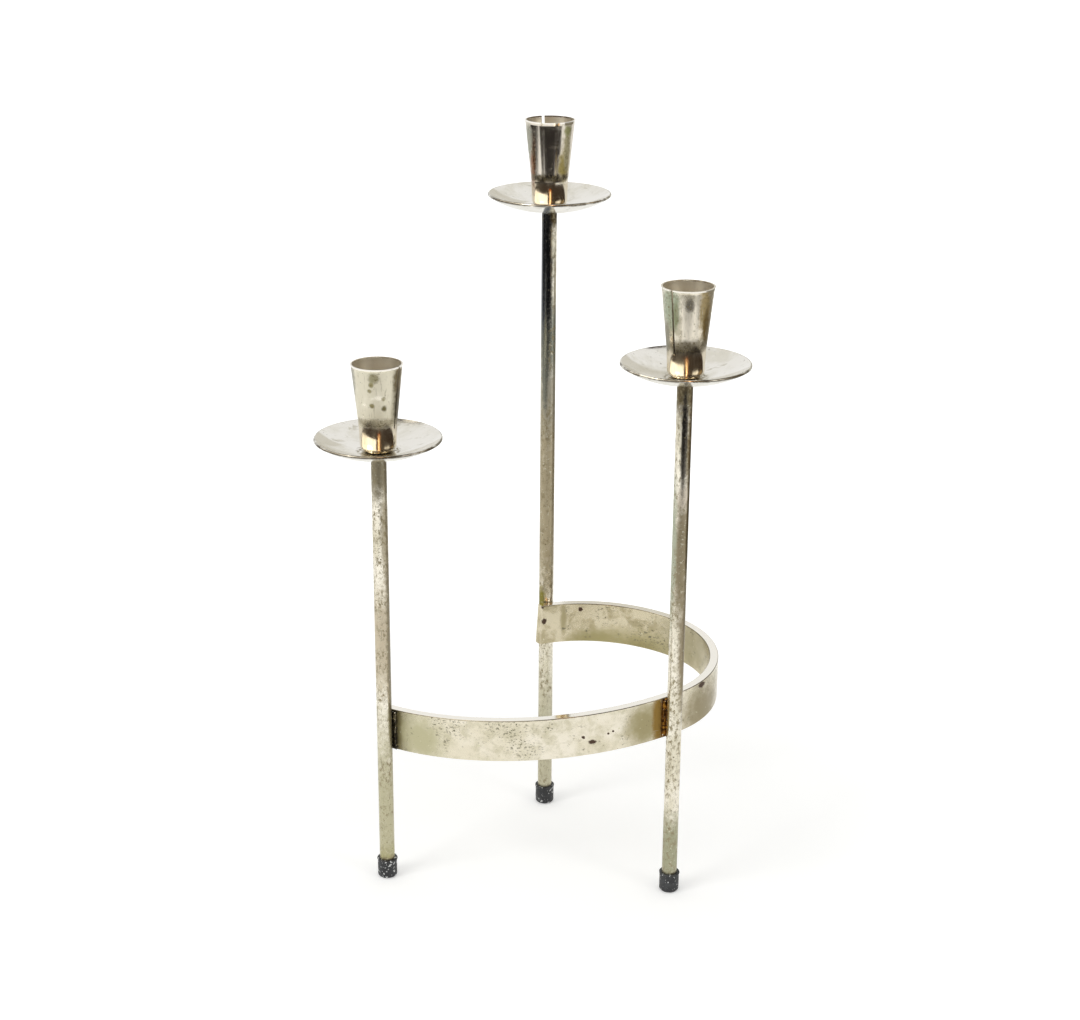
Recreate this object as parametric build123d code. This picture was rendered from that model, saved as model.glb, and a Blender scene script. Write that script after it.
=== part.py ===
from build123d import *

import math
import os

# A candlestick for three candles. Three round rods of different heights stand on rubber feet.
# Each carries a dished drip pan and a slit candle cup, held by one screw down the cup's floor.
# A flat bar, bent to a hook in plan, climbs from the left rod past the right rod to the back
# rod and is brazed to each. +X is right and +Y is back, seen from the front. The origin is on
# the floor under the middle of the three pans. All lengths are in millimetres.

# Rods: places on the floor and heights of their upper ends
stem_diameter = 8.0
side_spread = 152.0
depth_spread = 98.4
left_stem_y = -36.3
back_stem_x = 9.2
left_stem_top = 241.2
right_stem_top = 284.7
back_stem_top = 348.3
stem_chamfer_width = 1.2
stem_chamfer_height = 2.0

# Drip pans
pan_diameter = 64.6
pan_depth = 7.6
pan_sheet = 1.4
pan_seat_diameter = 14.0
pan_rim_crown = 0.4

# Candle cups, whose slits have each sprung open by a different amount
cup_mouth_diameter = 26.6
cup_waist_diameter = 19.4
cup_foot_diameter = 18.6
cup_taper_height = 31.2
cup_lower_height = 14.2
cup_sheet = 0.9
cup_corner_radius = 4.0
cup_lip_width = 0.35
cup_lip_height = 1.6
slit_below_waist = 1.5
left_slit_width = 0.9
right_slit_width = 1.0
back_slit_width = 1.5
left_slit_angle = 332.0
right_slit_angle = 229.0
back_slit_angle = 107.0

# Screws that hold cup and pan on the rod
screw_diameter = 4.0
screw_length = 14.0
screw_head_diameter = 7.0
screw_head_height = 2.4
screw_slot_width = 1.0
screw_slot_depth = 1.1
screw_passage = 0.15
tapped_hole_spare = 2.0

# Flat bar: it touches the left and right rods with one wide arc, turns tightly and
# comes back along a third arc to the back rod
band_thickness = 4.6
band_height = 22.8
band_edge_radius = 0.4
band_start_height = 74.9
band_start_slope = 0.0987
band_end_slope = 0.0725
front_arc_radius = 129.4
front_arc_overrun = 6.3
corner_turn = 112.4
back_rod_heading = 207.0
start_overrun = 2.2
end_overrun = 8.9
station_turn = 8.0

# Filler metal between the bar and each rod
braze_gap = 0.25
braze_foot_width = 9.6
braze_rise = 2.2
braze_sag = 0.5
braze_edge_margin = 0.6
braze_bite = 1.0

# Rubber feet
foot_wall = 1.2
foot_height = 11.0
foot_floor = 2.0
foot_lip_width = 0.3
foot_lip_height = 1.3
foot_corner_radius = 1.6

stem_radius = stem_diameter / 2
pan_radius = pan_diameter / 2
left_place = Vector(-side_spread / 2, left_stem_y)
right_place = Vector(side_spread / 2, -depth_spread / 2)
back_place = Vector(back_stem_x, depth_spread / 2)


def stem(top):
    """Round rod that stands on the floor of its rubber foot, chamfered and tapped at the top."""
    profile = Polyline(
        (0, foot_floor),
        (stem_radius, foot_floor),
        (stem_radius, top - stem_chamfer_height),
        (stem_radius - stem_chamfer_width, top),
        (0, top),
        close=True,
    )
    rod = revolve(Plane.XZ * make_face(profile), Axis.Z)
    hole_depth = screw_length - pan_sheet - cup_sheet + tapped_hole_spare
    hole = Pos(0, 0, top - hole_depth) * extrude(Circle(screw_diameter / 2), hole_depth)
    return rod - hole


def dish_arc_radius(depth):
    """Radius of the arc that runs from the pan's flat seat up to its rim."""
    run = pan_radius - pan_seat_diameter / 2
    return (run**2 + depth**2) / (2 * depth)


def drip_pan():
    """Shallow pressed dish. Its flat seat lies on z = 0 and its rounded rim is pan_depth higher."""
    seat = pan_seat_diameter / 2
    under = dish_arc_radius(pan_depth)
    upper = under - pan_sheet
    rim_angle = math.asin((pan_radius - seat) / under)
    half_angle = rim_angle / 2

    def on_arc(radius, angle):
        return (seat + radius * math.sin(angle), under - radius * math.cos(angle))

    rim_middle = on_arc((under + upper) / 2, rim_angle)
    crown = (
        rim_middle[0] + pan_rim_crown * math.cos(rim_angle),
        rim_middle[1] + pan_rim_crown * math.sin(rim_angle),
    )
    profile = [
        Line((0, 0), (seat, 0)),
        ThreePointArc((seat, 0), on_arc(under, half_angle), on_arc(under, rim_angle)),
        ThreePointArc(on_arc(under, rim_angle), crown, on_arc(upper, rim_angle)),
        ThreePointArc(on_arc(upper, rim_angle), on_arc(upper, half_angle), (seat, pan_sheet)),
        Line((seat, pan_sheet), (0, pan_sheet)),
        Line((0, pan_sheet), (0, 0)),
    ]
    dish = revolve(Plane.XZ * make_face(Curve() + profile), Axis.Z)
    return dish - Cylinder(screw_diameter / 2 + screw_passage, 3 * pan_sheet)


def cup_outline(inset):
    """Half outline of the cup, moved inwards by the sheet's thickness for its hollow."""
    foot = cup_foot_diameter / 2 - inset
    waist = cup_waist_diameter / 2 - inset
    mouth = cup_mouth_diameter / 2 - inset
    corner = cup_corner_radius - inset
    top = cup_lower_height + cup_taper_height
    side = math.atan2(waist - foot, cup_lower_height - cup_corner_radius)
    centre = (foot - corner, inset + corner)
    bend = (centre[0] + corner * math.sin(math.pi / 4), centre[1] - corner * math.cos(math.pi / 4))
    flank = (centre[0] + corner * math.cos(side), centre[1] - corner * math.sin(side))
    lip = cup_lip_width * (inset == 0)
    lip_start = top - cup_lip_height
    shoulder = waist + (mouth - lip - waist) * (lip_start - cup_lower_height) / cup_taper_height
    return [
        Line((0, inset), (centre[0], inset)),
        ThreePointArc((centre[0], inset), bend, flank),
        Polyline(flank, (waist, cup_lower_height), (shoulder, lip_start), (mouth, top), (0, top), (0, inset)),
    ]


def candle_cup(slit_angle, slit_width):
    """Thin drawn cup with a lip, and one slit from its mouth to just under its waist."""
    shell = revolve(Plane.XZ * make_face(Curve() + cup_outline(0)), Axis.Z)
    hollow = revolve(Plane.XZ * make_face(Curve() + cup_outline(cup_sheet)), Axis.Z)
    slit_bottom = cup_lower_height - slit_below_waist + slit_width / 2
    slit_height = cup_lower_height + cup_taper_height - slit_bottom + cup_lip_height
    reach = cup_mouth_diameter
    slot = Pos(reach / 2, 0, slit_bottom + slit_height / 2) * Box(reach, slit_width, slit_height)
    slot_end = Pos(reach / 2, 0, slit_bottom) * Rot(0, 90, 0) * Cylinder(slit_width / 2, reach)
    passage = Cylinder(screw_diameter / 2 + screw_passage, 3 * cup_sheet)
    cup = shell - hollow - passage - (Rot(0, 0, slit_angle) * (slot + slot_end))
    return cup


def cup_screw():
    """Slotted cheese-head screw, its head's underside on z = 0."""
    head = extrude(Circle(screw_head_diameter / 2), screw_head_height)
    slot_middle = screw_head_height - screw_slot_depth / 2
    slot = Pos(0, 0, slot_middle) * Box(screw_head_diameter * 1.2, screw_slot_width, screw_slot_depth)
    shank = extrude(Circle(screw_diameter / 2), -screw_length)
    return head - slot + shank


def rubber_foot():
    """Ferrule stretched over the rod's end, with a bead round its mouth and a rounded tread."""
    outer = stem_radius + foot_wall
    beaded = outer + foot_lip_width
    bead_bottom = foot_height - foot_lip_height
    bead_middle = foot_height - foot_lip_height / 2
    corner = (outer - foot_corner_radius, foot_corner_radius)
    tread_bend = (
        corner[0] + foot_corner_radius * math.sin(math.pi / 4),
        corner[1] - foot_corner_radius * math.cos(math.pi / 4),
    )
    profile = [
        Line((0, 0), (corner[0], 0)),
        ThreePointArc((corner[0], 0), tread_bend, (outer, corner[1])),
        Line((outer, corner[1]), (outer, bead_bottom)),
        ThreePointArc((outer, bead_bottom), (beaded, bead_middle), (outer, foot_height)),
        Polyline((outer, foot_height), (stem_radius, foot_height), (stem_radius, foot_floor), (0, foot_floor), (0, 0)),
    ]
    return revolve(Plane.XZ * make_face(Curve() + profile), Axis.Z)


def outward(heading):
    """Direction from an arc's centre to its point, for a bar that runs anticlockwise."""
    angle = math.radians(heading)
    return Vector(math.sin(angle), -math.cos(angle))


def middle_of_front_arc():
    """Centre of the arc whose outer face passes both front rods at the brazing gap."""
    reach = front_arc_radius + stem_radius + braze_gap
    chord = right_place - left_place
    sagitta_leg = math.sqrt(reach**2 - (chord.length / 2) ** 2)
    square_to_chord = Vector(-chord.Y, chord.X).normalized()
    return (left_place + right_place) / 2 + square_to_chord * sagitta_leg


def heading_to(centre, place):
    """The bar's heading where it passes a rod, from the arc's centre to that rod."""
    radius = place - centre
    return math.degrees(math.atan2(radius.Y, radius.X)) + 90


def band_route():
    """Arcs of the bar's outer face as (centre, radius, first heading, last heading), and its contacts."""
    front_centre = middle_of_front_arc()
    left_heading = heading_to(front_centre, left_place)
    right_heading = heading_to(front_centre, right_place)
    per_length = math.degrees(1 / front_arc_radius)
    first = left_heading - start_overrun * per_length
    join = right_heading + front_arc_overrun * per_length
    join_point = front_centre + outward(join) * front_arc_radius
    contact_back = back_place - outward(back_rod_heading) * (stem_radius + braze_gap)

    # The tight arc turns by a set angle, so both radii follow from where the bar has to arrive
    turned = join + corner_turn
    step_corner = outward(turned) - outward(join)
    step_back = outward(back_rod_heading) - outward(turned)
    way = contact_back - join_point
    area = step_corner.X * step_back.Y - step_corner.Y * step_back.X
    corner_radius = (way.X * step_back.Y - way.Y * step_back.X) / area
    back_radius = (step_corner.X * way.Y - step_corner.Y * way.X) / area
    corner_centre = join_point - outward(join) * corner_radius
    back_centre = contact_back - outward(back_rod_heading) * back_radius
    last = back_rod_heading + end_overrun * math.degrees(1 / back_radius)

    arcs = [
        (front_centre, front_arc_radius, first, join),
        (corner_centre, corner_radius, join, turned),
        (back_centre, back_radius, turned, last),
    ]
    contacts = {"left": left_heading, "right": right_heading, "back": back_rod_heading}
    return arcs, contacts


def arc_length(radius, turn):
    return radius * math.radians(turn)


band_arcs, band_contacts = band_route()
band_length = sum(arc_length(radius, last - first) for _, radius, first, last in band_arcs)


def band_slope(run):
    """Climb per length at a distance along the bar, which eases from its start to its end."""
    return band_start_slope + (band_end_slope - band_start_slope) * run / band_length


def band_rise(run):
    """Height of the bar's lower edge at a distance along it."""
    return band_start_height + run * (band_start_slope + band_slope(run)) / 2


def band_run(heading):
    """Distance along the bar to a heading."""
    run = 0
    for _, radius, first, last in band_arcs:
        run += arc_length(radius, min(max(heading, first), last) - first)
    return run


def band_point(heading):
    """Point of the outer face's lower edge at a heading."""
    for centre, radius, first, last in band_arcs:
        if heading <= last + 1e-9:
            break
    plan = centre + outward(heading) * radius
    return Vector(plan.X, plan.Y, band_rise(band_run(heading)))


def band_section(heading):
    """The bar's cross-section at a heading, square to its climbing run."""
    angle = math.radians(heading)
    slope = band_slope(band_run(heading))
    along = Vector(math.cos(angle), math.sin(angle), slope).normalized()
    across = outward(heading)
    corner = band_point(heading)
    plane = Plane(origin=corner, x_dir=across, z_dir=along)
    middle = (-band_thickness / 2, -band_height / 2)
    outline = RectangleRounded(band_thickness, band_height, band_edge_radius)
    return plane * Pos(*middle) * outline


def curved_band():
    """Flat bar bent on its flat along three arcs while it climbs."""
    headings = [band_arcs[0][2]]
    for _, _, first, last in band_arcs:
        steps = math.ceil((last - first) / station_turn)
        headings += [first + (last - first) * step / steps for step in range(1, steps + 1)]
    return loft([band_section(heading) for heading in headings])


def braze(heading, band, rod):
    """Filler metal in the wedge between the bar's outer face and a rod, hollow-flanked on both sides."""
    run = band_run(heading)
    foot_half = braze_foot_width / 2
    depth = stem_radius - braze_rise
    top_half = math.sqrt(stem_radius**2 - depth**2)
    top = braze_gap + braze_rise
    chord = math.hypot(foot_half - top_half, top)
    sag_across = braze_sag * top / chord
    sag_down = braze_sag * (foot_half - top_half) / chord
    flank_middle = ((foot_half + top_half) / 2 - sag_across, top / 2 - sag_down)
    outline = [
        Polyline((-foot_half, 0), (-foot_half, -braze_bite), (foot_half, -braze_bite), (foot_half, 0)),
        ThreePointArc((foot_half, 0), flank_middle, (top_half, top)),
        Line((top_half, top), (-top_half, top)),
        ThreePointArc((-top_half, top), (-flank_middle[0], flank_middle[1]), (-foot_half, 0)),
    ]
    low = band_rise(run) + braze_edge_margin
    face_point = band_point(heading)
    plane = Plane(origin=(face_point.X, face_point.Y, low), x_dir=outward(heading + 90), z_dir=(0, 0, 1))
    bead = plane * extrude(make_face(Curve() + outline), band_height - 2 * braze_edge_margin)
    return bead - rod - band


def export(name, solid):
    export_step(solid, f"parts/{name}.step")


os.makedirs("parts", exist_ok=True)

band = curved_band()
export("curved_band", band)

arms = {
    "left": (left_place, left_stem_top, left_slit_angle, left_slit_width),
    "right": (right_place, right_stem_top, right_slit_angle, right_slit_width),
    "back": (back_place, back_stem_top, back_slit_angle, back_slit_width),
}
for side, (place, top, slit_angle, slit_width) in arms.items():
    on_floor = Pos(place.X, place.Y, 0)
    rod = on_floor * stem(top)
    export(f"{side}_stem", rod)
    export(f"{side}_foot", on_floor * rubber_foot())
    export(f"{side}_drip_pan", Pos(place.X, place.Y, top) * drip_pan())
    cup = candle_cup(slit_angle, slit_width)
    export(f"{side}_candle_cup", Pos(place.X, place.Y, top + pan_sheet) * cup)
    export(f"{side}_cup_screw", Pos(place.X, place.Y, top + pan_sheet + cup_sheet) * cup_screw())
    export(f"{side}_braze", braze(band_contacts[side], band, rod))

print(f"bar length {band_length:.1f}, outer radii", [round(radius, 1) for _, radius, _, _ in band_arcs])
print(f"bar volume {band.volume:.0f}, section times middle length", end=" ")
middle_length = sum(arc_length(radius - band_thickness / 2, last - first) for _, radius, first, last in band_arcs)
print(f"{middle_length * band_thickness * band_height:.0f}")
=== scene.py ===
import math

import bmesh
import bpy
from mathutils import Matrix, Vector, noise


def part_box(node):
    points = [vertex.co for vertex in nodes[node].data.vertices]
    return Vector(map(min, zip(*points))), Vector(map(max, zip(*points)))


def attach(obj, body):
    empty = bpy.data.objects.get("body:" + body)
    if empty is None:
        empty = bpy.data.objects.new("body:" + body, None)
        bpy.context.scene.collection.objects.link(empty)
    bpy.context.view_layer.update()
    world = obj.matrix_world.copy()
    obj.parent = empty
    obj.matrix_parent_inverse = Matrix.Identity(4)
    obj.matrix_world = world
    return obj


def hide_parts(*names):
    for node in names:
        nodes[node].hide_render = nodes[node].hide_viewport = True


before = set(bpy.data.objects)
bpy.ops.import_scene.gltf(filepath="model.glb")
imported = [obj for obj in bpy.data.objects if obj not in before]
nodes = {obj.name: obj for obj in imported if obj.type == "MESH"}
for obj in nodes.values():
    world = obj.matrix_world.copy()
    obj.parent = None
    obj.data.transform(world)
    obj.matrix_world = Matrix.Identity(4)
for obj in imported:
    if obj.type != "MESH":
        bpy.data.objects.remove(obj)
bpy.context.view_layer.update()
sides = ("left", "right", "back")


# The three rods: 8 mm bright-drawn round steel, silver plated and long since tarnished. Clean
# plate is a warm white mirror; tarnish turns it khaki and duller, and each rod has its own
# stained stretches. Some stretches are painted shade, at the tops under the pans and down the
# right edges, and some glossy strips down the rods' middles are painted dark reflections.
def linear(code):
    """Linear colour with alpha from an sRGB hex value."""
    shares = [int(code[i : i + 2], 16) / 255 for i in (1, 3, 5)]
    light = [s / 12.92 if s <= 0.04045 else ((s + 0.055) / 1.055) ** 2.4 for s in shares]
    return (*light, 1.0)


def add_node(tree, kind, inputs=(), **settings):
    """One node with its settings; each input takes a constant or another node's socket."""
    node = tree.nodes.new(kind)
    for name, value in settings.items():
        setattr(node, name, value)
    for socket, value in dict(inputs).items():
        if isinstance(value, bpy.types.NodeSocket):
            tree.links.new(value, node.inputs[socket])
        else:
            node.inputs[socket].default_value = value
    return node


def bare_finish(name, colour, metallic, roughness, origin=(0, 0, 0)):
    """A material of one even finish. Returns it, its tree, the point on the piece in millimetres
    from an origin in metres, and the surface that coats go over."""
    material = bpy.data.materials.new(name)
    material.use_nodes = True
    tree = material.node_tree
    tree.nodes.clear()
    place = add_node(tree, "ShaderNodeTexCoord").outputs["Object"]
    shift = tuple(-1000 * o for o in origin)
    in_millimetres = {"Vector": place, "Location": shift, "Scale": (1000, 1000, 1000)}
    point = add_node(tree, "ShaderNodeMapping", in_millimetres).outputs["Vector"]
    surface = {"Base Color": linear(colour), "Metallic": metallic, "Roughness": roughness, "Height": 0.0}
    return material, tree, point, surface


def ramp(tree, value, start, end):
    """Mask that turns from 0 to 1 as a value goes smoothly from start to end."""
    limits = {"Value": value, "From Min": start, "From Max": end}
    return add_node(tree, "ShaderNodeMapRange", limits, interpolation_type="SMOOTHSTEP").outputs[0]


def patches(tree, point, size, low, high, detail=3.0, stretch=(1, 1, 1), seed=0.0, fray=0.6):
    """Mask of ragged patches of about one size in millimetres, drawn out along an axis by stretch.
    A cloud of noise is bare under low and covered over high, so a higher pair leaves less."""
    scale = tuple(1 / (size * s) for s in stretch)
    shifted = {"Vector": point, "Location": (seed, seed, seed), "Scale": scale}
    spot = add_node(tree, "ShaderNodeMapping", shifted).outputs["Vector"]
    texture = {"Vector": spot, "Scale": 1.0, "Detail": detail, "Roughness": fray, "Distortion": 0.3}
    cloud = add_node(tree, "ShaderNodeTexNoise", texture).outputs[0]
    return ramp(tree, cloud, low, high)


def stain(tree, point, place, reach, fray=0.5, grain=2.5, edge=0.7):
    """Mask of one stain with a frayed edge: its middle, its half sizes and the grain of its edge in
    millimetres, and how far the edge frays and fades as shares of the half sizes."""
    away = add_node(tree, "ShaderNodeVectorMath", {0: point, 1: place}, operation="SUBTRACT").outputs[0]
    shares = add_node(tree, "ShaderNodeVectorMath", {0: away, 1: reach}, operation="DIVIDE").outputs[0]
    length = add_node(tree, "ShaderNodeVectorMath", {0: shares}, operation="LENGTH").outputs["Value"]
    texture = {"Vector": point, "Scale": 1 / grain, "Detail": 4.0, "Roughness": 0.65}
    cloud = add_node(tree, "ShaderNodeTexNoise", texture).outputs[0]
    frayed = add_node(tree, "ShaderNodeMath", {0: cloud, 1: 2 * fray, 2: length}, operation="MULTIPLY_ADD")
    return ramp(tree, frayed.outputs[0], 1 + fray + edge / 2, 1 + fray - edge / 2)


def coat(tree, surface, masks, colour, metallic, roughness, relief=0.0):
    """Lays a finish over a surface where all the masks meet, raised by relief in millimetres."""
    mask = masks[0]
    for other in masks[1:]:
        mask = add_node(tree, "ShaderNodeMath", {0: mask, 1: other}, operation="MULTIPLY").outputs[0]
    covered = {}
    over = {"Base Color": linear(colour), "Metallic": metallic, "Roughness": roughness}
    for name, value in over.items():
        kind, under, top, out = ("RGBA", 6, 7, 2) if name == "Base Color" else ("FLOAT", 2, 3, 0)
        mixed = add_node(tree, "ShaderNodeMix", {0: mask, under: surface[name], top: value}, data_type=kind)
        covered[name] = mixed.outputs[out]
    raised = {0: mask, 1: relief, 2: surface["Height"]}
    covered["Height"] = add_node(tree, "ShaderNodeMath", raised, operation="MULTIPLY_ADD").outputs[0]
    return covered


def close_finish(material, tree, surface):
    """Puts the coated surface on the material's shader, its height in millimetres as bump."""
    relief = {"Strength": 1.0, "Distance": 0.001, "Height": surface["Height"]}
    inputs = {name: surface[name] for name in ("Base Color", "Metallic", "Roughness")}
    inputs["Normal"] = add_node(tree, "ShaderNodeBump", relief).outputs["Normal"]
    shader = add_node(tree, "ShaderNodeBsdfPrincipled", inputs)
    add_node(tree, "ShaderNodeOutputMaterial", {"Surface": shader.outputs[0]})


def dress(node, material):
    """Gives a CAD node's slots this material."""
    for slot in nodes[node].material_slots:
        slot.material = material


def middle(node):
    """Middle of a CAD node in plan, at its lowest height, in metres."""
    low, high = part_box(node)
    return ((low.x + high.x) / 2, (low.y + high.y) / 2, low.z)


clean_plate = "#F0EADB"
brown_crust = "#5A4A30"
# Each side's patterns are shifted by its own seed, so that no two sides look alike
pattern_seeds = {"left": 3.0, "right": 17.0, "back": 31.0}
# Stained stretches of each rod, with painted shade among them: middle from the rod's lower end,
# half size, colour and roughness
rod_stains_and_painted_shade = {
    "left": [
        ((0, 0, 234), (9, 9, 19), "#8B826C", 0.34),
        ((2.6, -2, 196), (1.8, 5, 22), "#B9AF97", 0.36),
        ((0, 0, 138), (9, 9, 28), "#CDC1A9", 0.36),
        # painted shade down the left rod's right edge
        ((3.8, 0, 120), (1.6, 6, 80), "#8E8672", 0.34),
        ((0, 0, 30), (9, 9, 60), "#BFBA9C", 0.36),
        ((0, 0, 2), (9, 9, 14), "#AFAA7E", 0.42),
    ],
    "right": [
        # painted shade at the right rod's top, under its pan
        ((0, 0, 280), (9, 9, 15), "#6A5F46", 0.36),
        # painted shade down the right side
        ((4.6, -1, 246), (3.6, 7, 28), "#6C5C3E", 0.28),
        ((0.5, -3, 190), (4.0, 7, 32), "#978B72", 0.34),
        ((-4.4, -1, 192), (2.4, 7, 38), "#B4B9A4", 0.32),
        # painted shade down the right side
        ((3.4, -2, 140), (2.8, 6, 34), "#9C9078", 0.36),
        ((1.0, -4, 222), (3.0, 3, 6), "#D8CDBB", 0.30),
        ((0, 0, 22), (9, 9, 22), "#A8A78C", 0.40),
    ],
    "back": [
        # painted shade at the back rod's top, under its pan
        ((0, 0, 343), (9, 9, 7), "#4E4229", 0.36),
        ((0, 0, 276), (9, 9, 22), "#8A8C80", 0.22),
        ((0, 0, 238), (9, 9, 26), "#B2AE9E", 0.30),
        ((0, 0, 182), (9, 9, 58), "#B0A488", 0.34),
        ((-3, -3, 124), (2.6, 4, 9), "#8C8440", 0.46),
        ((0, 0, 26), (9, 9, 60), "#C4BFA5", 0.38),
    ],
}
# Glossy strips, in the same form as the stains: old tarnish films and painted dark reflections
rod_films_and_painted_reflections = {
    "left": [],
    "right": [
        # painted dark reflection down the middle of the rod
        ((0.2, -4, 250), (1.4, 4, 24), "#6A655C", 0.14),
        # painted dark reflection down the right edge
        ((3.6, -2, 206), (1.2, 4, 24), "#75694E", 0.30),
    ],
    "back": [
        # painted dark reflections down the front of the rod, under its pan
        ((-2.2, -3, 312), (3.9, 7, 36), "#62656A", 0.15),
        ((-1.6, -3, 262), (1.6, 5, 26), "#7E7E72", 0.24),
    ],
}
for side in sides:
    seed = pattern_seeds[side]
    name = f"{side}_tarnished_plate_on_drawn_rod"
    rod, tree, point, surface = bare_finish(name, clean_plate, 1.0, 0.10, middle(f"{side}_stem"))
    veil = patches(tree, point, size=12, low=0.42, high=0.66, stretch=(1, 1, 2.4), seed=seed)
    surface = coat(tree, surface, [veil], "#DDD6C0", metallic=0.95, roughness=0.22)
    for place, reach, colour, roughness in rod_stains_and_painted_shade[side]:
        patch = stain(tree, point, place, reach, fray=0.6, grain=4, edge=0.9)
        surface = coat(tree, surface, [patch], colour, metallic=0.85, roughness=roughness)
    mottle = patches(
        tree, point, size=1.9, low=0.47, high=0.62, detail=6.0, stretch=(1, 1, 1.5), seed=seed + 1, fray=0.7
    )
    area = patches(tree, point, size=14, low=0.36, high=0.56, seed=seed + 2)
    surface = coat(tree, surface, [mottle, area], "#93886C", metallic=0.85, roughness=0.34, relief=-0.004)
    drawn_lines = patches(tree, point, size=0.8, low=0.60, high=0.74, stretch=(1, 1, 9), seed=seed + 3)
    surface = coat(tree, surface, [drawn_lines], "#8B836E", metallic=0.9, roughness=0.32, relief=-0.006)
    bloom = patches(tree, point, size=1.5, low=0.60, high=0.70, detail=5.0, seed=seed + 4)
    surface = coat(tree, surface, [bloom], "#D4CFB9", metallic=0.8, roughness=0.30, relief=0.01)
    for place, reach, colour, roughness in rod_films_and_painted_reflections[side]:
        film_and_painted_reflection = stain(tree, point, place, reach, fray=0.5, grain=3, edge=0.7)
        surface = coat(tree, surface, [film_and_painted_reflection], colour, metallic=1.0, roughness=roughness)
    flecks = patches(tree, point, size=0.9, low=0.62, high=0.70, detail=4.0, seed=seed + 6)
    surface = coat(tree, surface, [flecks], "#6F6549", metallic=0.7, roughness=0.42, relief=-0.01)
    pits = patches(tree, point, size=1.0, low=0.68, high=0.74, detail=2.5, seed=seed + 5)
    surface = coat(tree, surface, [pits], brown_crust, metallic=0.4, roughness=0.5, relief=-0.03)
    close_finish(rod, tree, surface)
    dress(f"{side}_stem", rod)


# The bar that ties the rods: flat steel 23 by 4.6 mm, rolled to three arcs and plated. Its
# broad faces are smooth ivory that greys and greens in places, peppered with fine specks and
# a few rust spots; heat has browned it beside the joints, painted shade darkens it beside the
# left rod, its upper edge is rubbed bright and painted lighter as a highlight, and a painted
# dark reflection runs along its upper corners.
bar, tree, point, surface = bare_finish("tarnished_plate_on_flat_bar", "#EAE3D2", 1.0, 0.12)
veil = patches(tree, point, size=24, low=0.40, high=0.66, seed=1.7)
surface = coat(tree, surface, [veil], "#E2DAC4", metallic=0.95, roughness=0.22)
cloudy = patches(tree, point, size=7, low=0.40, high=0.74, detail=5.0, seed=8.3)
surface = coat(tree, surface, [cloudy], "#CDC6AC", metallic=0.9, roughness=0.26)
# The arc at the back is yellower and duller than the one in front
towards_back = add_node(tree, "ShaderNodeSeparateXYZ", {0: point}).outputs["Y"]
back_arc = ramp(tree, towards_back, start=-4, end=12)
surface = coat(tree, surface, [back_arc], "#D6CCB1", metallic=0.94, roughness=0.24)
dull = patches(tree, point, size=10, low=0.44, high=0.64, detail=5.0, seed=9.9)
surface = coat(tree, surface, [dull, back_arc], "#B4A988", metallic=0.9, roughness=0.30)
# Stains of the bar, the first of them painted shade: middle in the part's own frame, half size,
# colour and roughness
bar_stains_and_painted_shade = [
    # painted shade beside the left rod, where the bar runs behind it
    ((-69, -36, 88), (9, 12, 16), "#7C7454", 0.28),
    ((-56, -45, 86), (13, 12, 12), "#BDB896", 0.32),
    ((60, -51, 99), (10, 10, 12), "#A29873", 0.34),
    ((90, -26, 98), (14, 20, 15), "#9C9174", 0.30),
    ((60, 40, 101), (34, 26, 9), "#B3A981", 0.34),
    ((84, 18, 112), (14, 22, 16), "#AEA688", 0.32),
    ((19, 44, 117), (1.6, 4, 9), "#B0A683", 0.34),
    ((36, 48, 103), (15, 8, 5), "#A89F74", 0.36),
    ((62, 44, 99), (9, 8, 5), "#9E946A", 0.38),
]
for place, reach, colour, roughness in bar_stains_and_painted_shade:
    patch = stain(tree, point, place, reach, fray=0.45, grain=4, edge=1.3)
    surface = coat(tree, surface, [patch], colour, metallic=0.9, roughness=roughness)
# Where the fine specks lie: in loose patches and at these places, each a middle and a half size
peppered_places = [
    ((-42, -52, 99), (11, 9, 8)),
    ((-10, -61, 101), (13, 9, 6)),
    ((-2, -62, 90), (9, 9, 6)),
    ((70, 42, 108), (16, 20, 8)),
]
pepper = patches(
    tree, point, size=1.1, low=0.53, high=0.60, detail=6.0, stretch=(1.5, 1.5, 1), seed=2.9, fray=0.75
)
peppered = patches(tree, point, size=9, low=0.56, high=0.66, seed=7.1)
for place, reach in peppered_places:
    patch = stain(tree, point, place, reach, fray=0.6, grain=3, edge=0.9)
    peppered = add_node(tree, "ShaderNodeMath", {0: peppered, 1: patch}, operation="MAXIMUM").outputs[0]
surface = coat(tree, surface, [pepper, peppered], "#7C7863", metallic=0.8, roughness=0.36, relief=-0.01)
drops = patches(tree, point, size=2.2, low=0.70, high=0.73, detail=2.0, seed=4.2)
surface = coat(tree, surface, [drops], "#D9D5B8", metallic=0.8, roughness=0.34, relief=0.01)
# Rust spots that stand out on the broad faces, each a middle and a half size
rust_spots = [
    ((28.5, -61, 96), (1.0, 2, 0.9)),
    ((33, -60, 93), (2.2, 2, 1.3)),
    ((41.5, -58.5, 97), (0.6, 2, 0.6)),
    ((44, -58, 98), (0.6, 2, 0.6)),
    ((91, -31.5, 112.5), (2.4, 3, 1.6)),
    ((8, 38.5, 118), (1.5, 2, 1.7)),
    ((6.5, 37.5, 126.5), (1.3, 2, 0.9)),
    ((28.5, 47, 122), (1.3, 2, 1.3)),
]
for place, reach in rust_spots:
    rust = stain(tree, point, place, reach, fray=0.7, grain=1.2, edge=0.4)
    surface = coat(tree, surface, [rust], "#4A3320", metallic=0.2, roughness=0.5, relief=-0.02)
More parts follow.
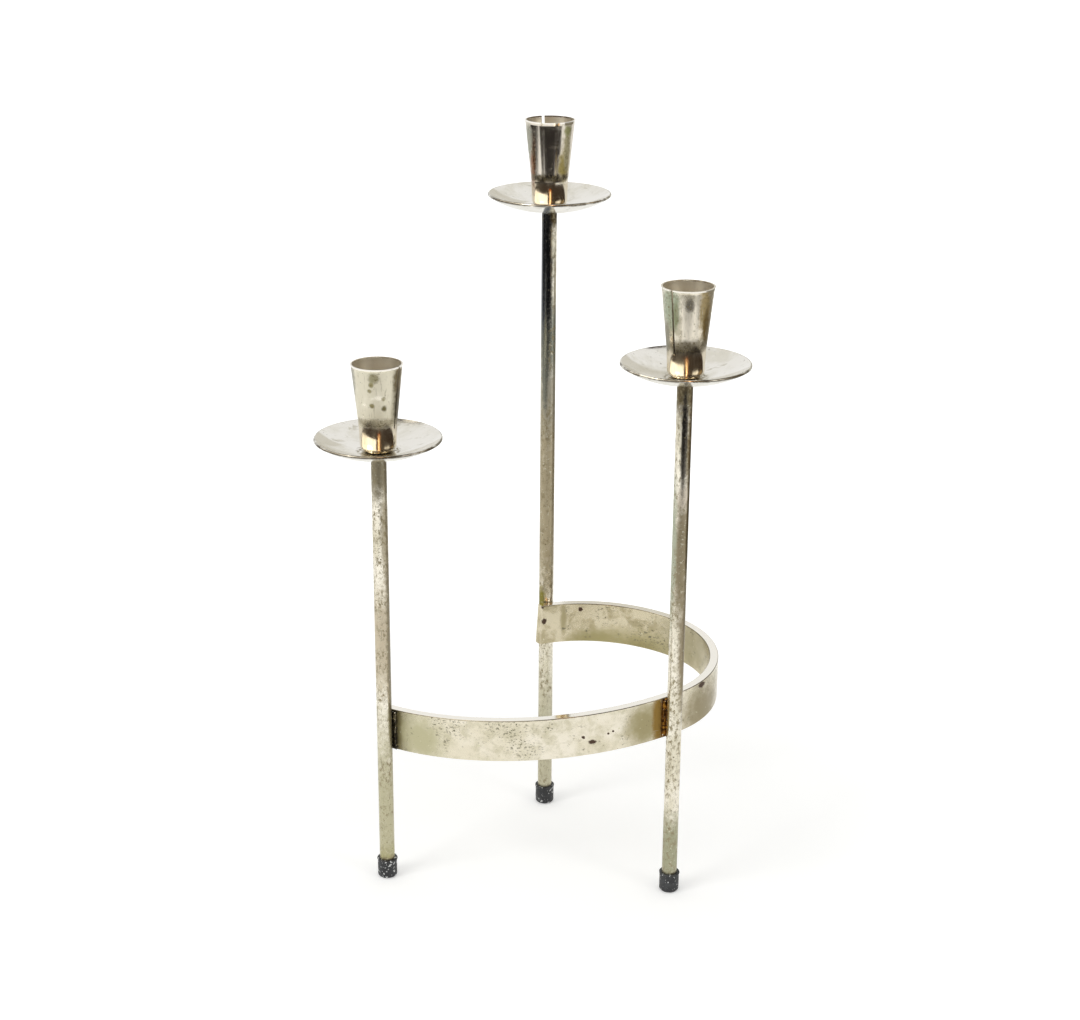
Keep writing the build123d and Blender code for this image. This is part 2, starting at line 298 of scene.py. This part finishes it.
# Heat marks beside the right rod: a brown smoke stain, and a darker scorch nearer the rod
smoke = stain(tree, point, place=(67.5, -48.5, 101), reach=(3.2, 4, 17), fray=0.4, grain=4.0, edge=0.9)
surface = coat(tree, surface, [smoke], "#8C7038", metallic=0.85, roughness=0.30)
scorch = stain(tree, point, place=(71.5, -46, 101), reach=(2.4, 4, 18), fray=0.4, grain=3.0, edge=0.7)
surface = coat(tree, surface, [scorch], "#5A3A16", metallic=0.8, roughness=0.34)
scratches = patches(tree, point, size=0.5, low=0.66, high=0.76, detail=3.0, stretch=(14, 14, 1), seed=5.5)
surface = coat(tree, surface, [scratches], "#B4AC94", metallic=0.9, roughness=0.30, relief=-0.005)
pits = patches(tree, point, size=1.0, low=0.71, high=0.76, detail=2.0, seed=6.1)
surface = coat(tree, surface, [pits], brown_crust, metallic=0.4, roughness=0.5, relief=-0.03)
# The upward share of the normal is 0 on the broad faces and 1 on the upper edge. That edge is
# rubbed bright and painted lighter as a highlight, and a painted dark reflection draws a line
# along the corner where it meets the faces.
facing = add_node(tree, "ShaderNodeNewGeometry").outputs["Normal"]
upward = add_node(tree, "ShaderNodeSeparateXYZ", {0: facing}).outputs["Z"]
# painted highlight on the upward-facing edge, over rubbing
rubbed_and_highlit_edge = ramp(tree, upward, start=0.6, end=0.95)
surface = coat(tree, surface, [rubbed_and_highlit_edge], "#F2EEE4", metallic=1.0, roughness=0.08)
# painted dark reflection along the corner
painted_reflection_line = [ramp(tree, upward, start=0.12, end=0.35), ramp(tree, upward, start=0.97, end=0.85)]
surface = coat(tree, surface, painted_reflection_line, "#8E8672", metallic=1.0, roughness=0.16)
close_finish(bar, tree, surface)
dress("curved_band", bar)


# Silver brazing filler between the bar and each rod: a lumpy bead run in by torch, darkened
# by flux and heat, with bright burnished spots.
lump_height = 0.00035
lump_size = 0.0016
lump_smoothing = 0.4
merge_distance = 1e-6
flat_angle = math.radians(1)
split_rounds = 4
# Colour of the clean filler and of the burnt filler on each side
filler_looks = {
    "left": ("#77705F", "#2E2A24"),
    "right": ("#A87A34", "#4A2C10"),
    "back": ("#968C66", "#4E4426"),
}
for side in sides:
    seed = pattern_seeds[side]
    clean, dark = filler_looks[side]
    filler, tree, point, surface = bare_finish(f"{side}_burnt_silver_filler", clean, 1.0, 0.22)
    burnt = patches(tree, point, size=2.4, low=0.42, high=0.56, detail=4.0, seed=seed)
    surface = coat(tree, surface, [burnt], dark, metallic=0.8, roughness=0.36)
    burnished = patches(tree, point, size=1.6, low=0.62, high=0.67, detail=3.0, seed=seed + 2)
    surface = coat(tree, surface, [burnished], "#E8E2D0", metallic=1.0, roughness=0.15)
    close_finish(filler, tree, surface)
    bead = bmesh.new()
    bead.from_mesh(nodes[f"{side}_braze"].data)
    bmesh.ops.remove_doubles(bead, verts=bead.verts, dist=merge_distance)
    bmesh.ops.dissolve_limit(bead, angle_limit=flat_angle, verts=bead.verts, edges=bead.edges)
    bmesh.ops.triangulate(bead, faces=bead.faces)
    for _ in range(split_rounds):
        long_edges = [edge for edge in bead.edges if edge.calc_length() > lump_size / 2]
        bmesh.ops.subdivide_edges(bead, edges=long_edges, cuts=1)
        bmesh.ops.triangulate(bead, faces=bead.faces)
    bead.normal_update()
    lifts = {v: lump_height * noise.noise(v.co / lump_size) for v in bead.verts}
    for v, lift in lifts.items():
        v.co += v.normal * lift
    axes = {"use_axis_x": True, "use_axis_y": True, "use_axis_z": True}
    bmesh.ops.smooth_vert(bead, verts=bead.verts, factor=lump_smoothing, **axes)
    for face in bead.faces:
        face.smooth = True
    mesh = bpy.data.meshes.new(f"{side}_filler_bead")
    bead.to_mesh(mesh)
    bead.free()
    mesh.materials.clear()
    mesh.materials.append(filler)
    run = bpy.data.objects.new(f"{side}_filler_bead", mesh)
    bpy.context.scene.collection.objects.link(run)
    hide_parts(f"{side}_braze")
    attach(run, "root")


# Drip pans: steel sheet pressed to a shallow dish and plated. They are satin from wiping, with
# fine scratches and a few dark specks. A painted dark reflection lies along the rim in broken
# segments, and grime darkened with painted shade fills the ring round the cup.
pan_radius = 32.3
dark_rim_reflection_width = 1.0
dark_rim_reflection_full_width = 0.4
dirt_and_shade_radius = 12.0
dirt_and_shade_full_radius = 9.8


def off_axis(tree, point):
    """Distance in millimetres from the upright axis of a piece whose point starts on it."""
    across = add_node(tree, "ShaderNodeVectorMath", {0: point, 1: (1, 1, 0)}, operation="MULTIPLY")
    length = add_node(tree, "ShaderNodeVectorMath", {0: across.outputs[0]}, operation="LENGTH")
    return length.outputs["Value"]


for side in sides:
    seed = pattern_seeds[side]
    name = f"{side}_wiped_plate_on_pressed_sheet"
    pan, tree, point, surface = bare_finish(name, "#EAE7DF", 1.0, 0.10, middle(f"{side}_drip_pan"))
    veil = patches(tree, point, size=16, low=0.40, high=0.68, seed=seed)
    surface = coat(tree, surface, [veil], "#DDD9CC", metallic=0.97, roughness=0.18)
    smears = patches(
        tree, point, size=5, low=0.58, high=0.74, detail=4.0, stretch=(2.2, 1, 1), seed=seed + 1
    )
    surface = coat(tree, surface, [smears], "#C6C1B1", metallic=0.95, roughness=0.24)
    scratches = patches(
        tree, point, size=0.5, low=0.68, high=0.76, detail=2.0, stretch=(9, 2, 4), seed=seed + 2
    )
    surface = coat(tree, surface, [scratches], "#F4F2EA", metallic=1.0, roughness=0.16, relief=-0.004)
    specks = patches(tree, point, size=1.2, low=0.69, high=0.73, detail=2.5, seed=seed + 3)
    surface = coat(tree, surface, [specks], "#6A6350", metallic=0.5, roughness=0.5, relief=-0.02)
    out = off_axis(tree, point)
    # painted dark reflection along the rim, broken into segments
    painted_dark_rim = ramp(tree, out, pan_radius - dark_rim_reflection_width, pan_radius - dark_rim_reflection_full_width)
    rim_reflection_segments = patches(tree, point, size=7, low=0.36, high=0.56, seed=seed + 4)
    surface = coat(tree, surface, [painted_dark_rim, rim_reflection_segments], "#8A8478", metallic=0.95, roughness=0.22)
    # grime and painted shade in the ring where the cup stands on the pan
    dirt_and_shade_ring = ramp(tree, out, dirt_and_shade_radius, dirt_and_shade_full_radius)
    dirt_and_shade_patches = patches(tree, point, size=1.6, low=0.44, high=0.58, detail=4.0, seed=seed + 5)
    surface = coat(tree, surface, [dirt_and_shade_ring, dirt_and_shade_patches], "#857C60", metallic=0.7, roughness=0.42, relief=0.01)
    close_finish(pan, tree, surface)
    dress(f"{side}_drip_pan", pan)


# Candle cups: steel tube drawn to a taper over a straight foot, slit down one side so that it
# springs round the candle. The foot below the waist has kept its polish and the lip is rubbed
# bright and painted lighter still as a highlight, while the taper is dulled and stained, on each
# cup in its own way. Painted shade lies across the front of each waist, and a painted brown
# reflection runs down the back cup's left side.
waist_height = 14.2
mouth_height = 45.4
waist_radius = 9.7
mouth_radius = 13.3
cup_sheet = 0.9
taper_slope = (mouth_radius - waist_radius) / (mouth_height - waist_height)
wall_middle = waist_radius - taper_slope * waist_height - 0.6 * cup_sheet
# Colour and roughness of each cup's taper, then of the veil on it, and where that veil starts
# and is full, as shares of the cloud of noise
cup_looks = {
    "left": ("#F0EAD8", 0.24, "#E6E0CB", 0.36, (0.28, 0.46)),
    "right": ("#E9E1D0", 0.16, "#C9C1AB", 0.32, (0.42, 0.62)),
    "back": ("#DED6C8", 0.11, "#BDB4A1", 0.19, (0.54, 0.74)),
}
# Stains of each cup, some of them painted light: middle from the cup's floor, half size, colour,
# metallic and roughness
cup_stains_and_painted_light = {
    "left": [
        ((-0.5, -12.8, 41.0), (2.6, 4, 2.6), "#A9A283", 0.8, 0.40),
        ((-2.0, -12.4, 37.6), (1.2, 3, 1.3), "#A09870", 0.7, 0.42),
        ((-3.0, -12.0, 34.4), (1.0, 3, 1.0), "#A8A07C", 0.7, 0.42),
        ((4.0, -11.6, 30.2), (1.0, 3, 1.1), "#BDB697", 0.7, 0.42),
        ((-1.8, -11.2, 26.6), (1.2, 3, 1.1), "#A09870", 0.7, 0.42),
        ((4.2, -10.8, 25.0), (1.3, 3, 1.5), "#78704C", 0.6, 0.46),
        ((11.4, -6.0, 38.0), (2.6, 5, 10.0), "#8E8062", 0.8, 0.36),
        ((10.4, -3.0, 24.0), (1.9, 5, 13.0), "#6E6654", 0.8, 0.34),
        ((-12.0, -3.0, 38.0), (1.8, 6, 14.0), "#A5A294", 0.9, 0.30),
        # painted shade across the front of the waist
        ((0, -9, 17.2), (12, 9, 2.2), "#B4AC96", 0.95, 0.22),
    ],
    "right": [
        ((-8.8, -7.5, 37), (4.2, 8, 12), "#B2BBA4", 0.75, 0.36),
        ((-6.2, -9.5, 33), (1.2, 4, 7), "#929878", 0.75, 0.38),
        ((7.8, -8.5, 36), (3.0, 7, 13), "#A9966C", 0.75, 0.38),
        ((8.4, -7.0, 27), (1.6, 6, 9), "#7A6538", 0.7, 0.42),
        ((0.2, -12, 38.5), (1.9, 4, 3.2), "#8A8478", 0.95, 0.24),
        # painted shade across the front of the waist
        ((0, -9, 17.0), (12, 9, 3.6), "#8A8272", 0.98, 0.18),
        ((-9.6, -2.0, 22), (1.6, 6, 9), "#8E8A78", 0.9, 0.30),
    ],
    "back": [
        # painted reflection: a glossy brown streak down the left side
        ((-8.6, -5.5, 26), (1.5, 6, 15), "#8A6248", 0.98, 0.14),
        ((-11.0, -5.0, 35), (2.2, 7, 9), "#A5A596", 0.85, 0.30),
        ((7.4, -8.2, 22.6), (3.2, 6, 8), "#A39458", 0.75, 0.36),
        ((8.6, -7.0, 31), (1.8, 5, 11), "#BDB592", 0.8, 0.34),
        # painted shade across the front of the waist
        ((0, -9, 16.4), (12, 9, 2.0), "#6E6656", 0.98, 0.14),
        ((9.2, -8.2, 41), (2.0, 5, 3), "#A0A070", 0.75, 0.36),
    ],
}
for side in sides:
    seed = pattern_seeds[side] + 5
    name = f"{side}_spotted_plate_on_drawn_cup"
    cup, tree, point, surface = bare_finish(name, "#EDE4D2", 1.0, 0.12, middle(f"{side}_candle_cup"))
    colour, polish, veil_colour, veil_roughness, (low, high) = cup_looks[side]
    height = add_node(tree, "ShaderNodeSeparateXYZ", {0: point}).outputs["Z"]
    wave = add_node(tree, "ShaderNodeTexNoise", {"Vector": point, "Scale": 0.2, "Detail": 3.0}).outputs[0]
    wavy = add_node(tree, "ShaderNodeMath", {0: wave, 1: 3.0, 2: height}, operation="MULTIPLY_ADD")
    handled = ramp(tree, wavy.outputs[0], waist_height + 0.8, waist_height + 2.6)
    surface = coat(tree, surface, [handled], colour, metallic=1.0, roughness=polish)
    veil = patches(tree, point, size=8, low=low, high=high, seed=seed)
    surface = coat(tree, surface, [handled, veil], veil_colour, metallic=0.95, roughness=veil_roughness)
    stains_and_painted_light = 0.0
    for place, reach, tint, metallic, roughness in cup_stains_and_painted_light[side]:
        patch = stain(tree, point, place, reach, fray=0.6, grain=2.6, edge=0.9)
        surface = coat(tree, surface, [patch], tint, metallic, roughness)
        stains_and_painted_light = add_node(tree, "ShaderNodeMath", {0: stains_and_painted_light, 1: patch}, operation="MAXIMUM").outputs[0]
    flecks = patches(tree, point, size=1.0, low=0.52, high=0.62, detail=6.0, seed=seed + 3, fray=0.7)
    flecked = [handled, stains_and_painted_light, flecks]
    surface = coat(tree, surface, flecked, "#7C7254", metallic=0.75, roughness=0.38, relief=0.012)
    streaks = patches(
        tree, point, size=1.2, low=0.58, high=0.74, detail=4.0, stretch=(1, 1, 6), seed=seed + 1
    )
    surface = coat(tree, surface, [handled, streaks], "#BAB29B", metallic=0.95, roughness=0.28)
    crust = patches(tree, point, size=1.1, low=0.64, high=0.71, detail=5.0, seed=seed + 2)
    surface = coat(tree, surface, [handled, crust], "#98906F", metallic=0.7, roughness=0.42, relief=0.01)
    specks = patches(tree, point, size=0.9, low=0.71, high=0.75, detail=2.0, seed=seed + 4)
    surface = coat(tree, surface, [specks], "#544A34", metallic=0.5, roughness=0.5, relief=-0.02)
    # Distance from the axis less what the taper adds, so that each face of the wall has one value
    spread = {0: height, 1: -taper_slope, 2: off_axis(tree, point)}
    squared_up = add_node(tree, "ShaderNodeMath", spread, operation="MULTIPLY_ADD").outputs[0]
    within_wall = ramp(tree, squared_up, wall_middle + 0.1, wall_middle - 0.1)
    above_floor = ramp(tree, height, start=2, end=3)
    surface = coat(tree, surface, [within_wall, above_floor], "#CFC9BA", metallic=0.8, roughness=0.34)
    # the lip: rubbed bright, and painted lighter still as a highlight
    rubbed_and_highlit_lip = ramp(tree, height, mouth_height - 0.9, mouth_height - 0.4)
    surface = coat(tree, surface, [rubbed_and_highlit_lip], "#F4F0E6", metallic=1.0, roughness=0.12)
    close_finish(cup, tree, surface)
    dress(f"{side}_candle_cup", cup)


# Screws that hold cup and pan to the rod: plain steel cheese heads on the cups' floors, one in
# each cup, dulled by wax.
screw, tree, point, surface = bare_finish("dull_steel_screw", "#A8A397", 1.0, 0.34)
waxed = patches(tree, point, size=2, low=0.5, high=0.65)
surface = coat(tree, surface, [waxed], "#6E6858", metallic=0.6, roughness=0.5, relief=0.02)
close_finish(screw, tree, surface)
for side in sides:
    dress(f"{side}_cup_screw", screw)


# Rubber feet: moulded black ferrules pushed over the rods' ends. They are dusty, chipped and
# scuffed white, each to its own degree.
chip_limits = {"left": 0.575, "right": 0.63, "back": 0.59}
chip_edge = 0.03
for side in sides:
    rubber, tree, point, surface = bare_finish(f"{side}_dusty_black_rubber", "#26272A", 0.0, 0.5)
    dust = patches(tree, point, size=4, low=0.45, high=0.7, detail=4.0)
    surface = coat(tree, surface, [dust], "#404244", metallic=0.0, roughness=0.7)
    low = chip_limits[side]
    chips = patches(tree, point, size=1.7, low=low, high=low + chip_edge, detail=4.0, seed=2.2)
    surface = coat(tree, surface, [chips], "#D6D8D6", metallic=0.0, roughness=0.7, relief=-0.04)
    close_finish(rubber, tree, surface)
    dress(f"{side}_foot", rubber)


# The floor is white paper under the candlestick. It keeps the shadows near the feet and fades
# to plain white further out. Metal sees it a little lighter.
floor_half = 6.0
shadow_reach = 0.16
white_from = 0.55
glow_at_feet = 0.25
glow_far_out = 0.60
glow_in_metal = 0.25
paper_white = (1, 1, 1, 1)
mesh = bpy.data.meshes.new("paper_floor")
sheet = bmesh.new()
bmesh.ops.create_grid(sheet, x_segments=2, y_segments=2, size=floor_half)
sheet.to_mesh(mesh)
sheet.free()
floor = bpy.data.objects.new("paper_floor", mesh)
bpy.context.scene.collection.objects.link(floor)
paper = bpy.data.materials.new("white_paper")
paper.use_nodes = True
tree = paper.node_tree
tree.nodes.clear()
point = add_node(tree, "ShaderNodeTexCoord").outputs["Object"]
away = add_node(tree, "ShaderNodeVectorMath", {0: point}, operation="LENGTH").outputs["Value"]
limits = {"Value": away, "From Min": shadow_reach, "From Max": white_from}
glows = {"To Min": glow_at_feet, "To Max": glow_far_out}
spread = add_node(tree, "ShaderNodeMapRange", limits | glows).outputs[0]
path = add_node(tree, "ShaderNodeLightPath")
in_view = {0: spread, 1: path.outputs["Is Camera Ray"]}
in_metal = {0: path.outputs["Is Glossy Ray"], 1: glow_in_metal}
shown = add_node(tree, "ShaderNodeMath", in_view, operation="MULTIPLY").outputs[0]
mirrored = add_node(tree, "ShaderNodeMath", in_metal, operation="MULTIPLY").outputs[0]
lift = add_node(tree, "ShaderNodeMath", {0: shown, 1: mirrored}, operation="ADD").outputs[0]
glow = add_node(tree, "ShaderNodeEmission", {"Color": paper_white, "Strength": lift})
diffuse = add_node(tree, "ShaderNodeBsdfDiffuse", {"Color": linear("#F0F0EE")})
lit = add_node(tree, "ShaderNodeAddShader", {0: diffuse.outputs[0], 1: glow.outputs[0]})
under = add_node(tree, "ShaderNodeNewGeometry").outputs["Backfacing"]
clear = add_node(tree, "ShaderNodeBsdfTransparent")
one_sided = add_node(tree, "ShaderNodeMixShader", {0: under, 1: lit.outputs[0], 2: clear.outputs[0]})
add_node(tree, "ShaderNodeOutputMaterial", {"Surface": one_sided.outputs[0]})
mesh.materials.append(paper)


# The room's light: a white tent behind and above, a large soft lamp to the left and a smaller
# one to the right. The tent is open in front, so polished metal also mirrors a dark room past
# the paper's front edge, with softboxes and one warm strip of light in it.
tent_light = 0.74
tent_in_view = 1.0
tent_in_metal = 0.22
lamp_target = Vector((0, 0, 0.2))
world = bpy.data.worlds.new("white_tent")
bpy.context.scene.world = world
world.use_nodes = True
tree = world.node_tree
tree.nodes.clear()
path = add_node(tree, "ShaderNodeLightPath")
in_view = {0: path.outputs["Is Camera Ray"], 1: path.outputs["Is Transmission Ray"]}
in_metal = {0: path.outputs["Is Glossy Ray"], 1: tent_in_metal}
seen = add_node(tree, "ShaderNodeMath", in_view, operation="MAXIMUM").outputs[0]
light = {"Value": seen, "To Min": tent_light, "To Max": tent_in_view}
shown = add_node(tree, "ShaderNodeMapRange", light).outputs[0]
mirrored = add_node(tree, "ShaderNodeMath", in_metal, operation="MULTIPLY").outputs[0]
strength = add_node(tree, "ShaderNodeMath", {0: shown, 1: mirrored}, operation="ADD").outputs[0]
sky = add_node(tree, "ShaderNodeBackground", {"Color": paper_white, "Strength": strength})
add_node(tree, "ShaderNodeOutputWorld", {"Surface": sky.outputs[0]})


def soft_lamp(name, place, size, power):
    """Square area lamp that points at the middle of the candlestick."""
    data = bpy.data.lights.new(name, "AREA")
    data.energy = power
    data.size = size
    lamp = bpy.data.objects.new(name, data)
    bpy.context.scene.collection.objects.link(lamp)
    lamp.location = place
    lamp.rotation_mode = "QUATERNION"
    lamp.rotation_quaternion = (lamp_target - Vector(place)).to_track_quat("-Z", "Y")


soft_lamp("left_softbox", place=(-1.1, -0.75, 1.15), size=0.7, power=7.0)
soft_lamp("right_softbox", place=(1.2, -0.9, 0.9), size=0.4, power=2.5)


def mirrored_card(name, card, colour, strength):
    """Makes a stage card of a bmesh, glowing in one colour, that only reflections show."""
    mesh = bpy.data.meshes.new(name)
    card.to_mesh(mesh)
    card.free()
    holder = bpy.data.objects.new(name, mesh)
    bpy.context.scene.collection.objects.link(holder)
    material = bpy.data.materials.new(name)
    material.use_nodes = True
    tree = material.node_tree
    tree.nodes.clear()
    shade = add_node(tree, "ShaderNodeEmission", {"Color": linear(colour), "Strength": strength})
    add_node(tree, "ShaderNodeOutputMaterial", {"Surface": shade.outputs[0]})
    mesh.materials.append(material)
    holder.visible_camera = False
    holder.visible_diffuse = False
    holder.visible_transmission = False
    holder.visible_shadow = False


def floor_card(name, height, colour, rows, strength=1.0):
    """A card just over the paper: rows are (y, left end, right end) in metres."""
    card = bmesh.new()
    edges = []
    for y, left, right in rows:
        edges.append([card.verts.new((left, y, height)), card.verts.new((right, y, height))])
    for (a, b), (c, d) in zip(edges, edges[1:]):
        card.faces.new((a, b, d, c))
    mirrored_card(name, card, colour, strength)


def room_panel(name, turn, rise, distance, colour, strength):
    """A panel of the room round the candlestick: its turn from straight ahead towards the right and
    its rise from the floor, each from and to in degrees."""
    card = bmesh.new()
    bmesh.ops.create_grid(card, x_segments=24, y_segments=12, size=0.5)
    for v in card.verts:
        across = math.radians(turn[0] + (turn[1] - turn[0]) * (v.co.x + 0.5))
        up = math.radians(rise[0] + (rise[1] - rise[0]) * (v.co.y + 0.5))
        level = math.cos(up)
        v.co = distance * Vector((math.sin(across) * level, -math.cos(across) * level, math.sin(up)))
    mirrored_card(name, card, colour, strength)


dark_floor = "#2A2624"
front_rows = [(-0.70, -0.34, 0.34), (-0.84, -0.80, 0.75), (-1.2, -1.6, 0.90), (-3.0, -3.0, 1.4)]
left_wing_rows = [(-0.58, -0.85, -0.60), (-0.85, -1.2, -0.40)]
right_wing_rows = [(-0.46, 0.64, 0.95), (-0.85, 0.40, 0.95)]
left_rows = [(0.5, -3.0, -1.1), (-0.4, -3.0, -0.95), (-1.2, -3.0, -0.8)]
right_rows = [(0.9, 0.30, 1.4), (-0.05, 0.36, 1.4)]
floor_card("dark_floor_in_front", 0.004, dark_floor, front_rows)
floor_card("dark_floor_left_wing", 0.005, dark_floor, left_wing_rows)
floor_card("dark_floor_right_wing", 0.005, dark_floor, right_wing_rows)
floor_card("dark_floor_on_the_left", 0.006, "#33302C", left_rows)
floor_card("grey_floor_on_the_right", 0.003, "#8E897C", right_rows)
# Panels further out stand behind the nearer ones: turn, rise, distance in metres, colour, strength
room_panels = {
    "dark_room": ((-130, 130), (0.2, 84), 3.2, "#3A2E24", 1.0),
    "tan_wall": ((-120, 120), (18, 46), 3.1, "#A8916C", 1.0),
    "left_white_wall": ((-125, -14), (24, 66), 3.0, "#FFF8EC", 2.0),
    "right_white_wall": ((44, 84), (26, 50), 3.0, "#FFF8EC", 1.6),
    "pale_wall_behind": ((150, 176), (0.2, 30), 3.1, "#DCD9D0", 1.0),
    "grey_wall_on_the_right": ((122, 150), (0.2, 30), 3.1, "#BDB9AE", 1.0),
    "warm_glow": ((-1, 12), (26, 76), 2.9, "#C86A26", 1.5),
    "warm_strip": ((2, 8), (26, 72), 2.8, "#FFDCA8", 4.0),
}
for name, (turn, rise, distance, colour, strength) in room_panels.items():
    room_panel(name, turn, rise, distance, colour, strength)


# The camera looks down at the candlestick from about a metre in front of it and a little over
# half a metre up, through a lens of 67 mm on a 36 mm frame.
camera_place = (0.00537, -0.99042, 0.5588)
camera_pitch_down = math.radians(20.005)
camera_roll = math.radians(0.408)
data = bpy.data.cameras.new("camera")
data.sensor_width = 36.0
data.lens = 66.67
camera = bpy.data.objects.new("camera", data)
bpy.context.scene.collection.objects.link(camera)
camera.rotation_mode = "ZYX"
camera.rotation_euler = (math.pi / 2 - camera_pitch_down, 0.0, camera_roll)
camera.location = camera_place
bpy.context.scene.camera = camera

bpy.context.scene.view_settings.view_transform = "Standard"
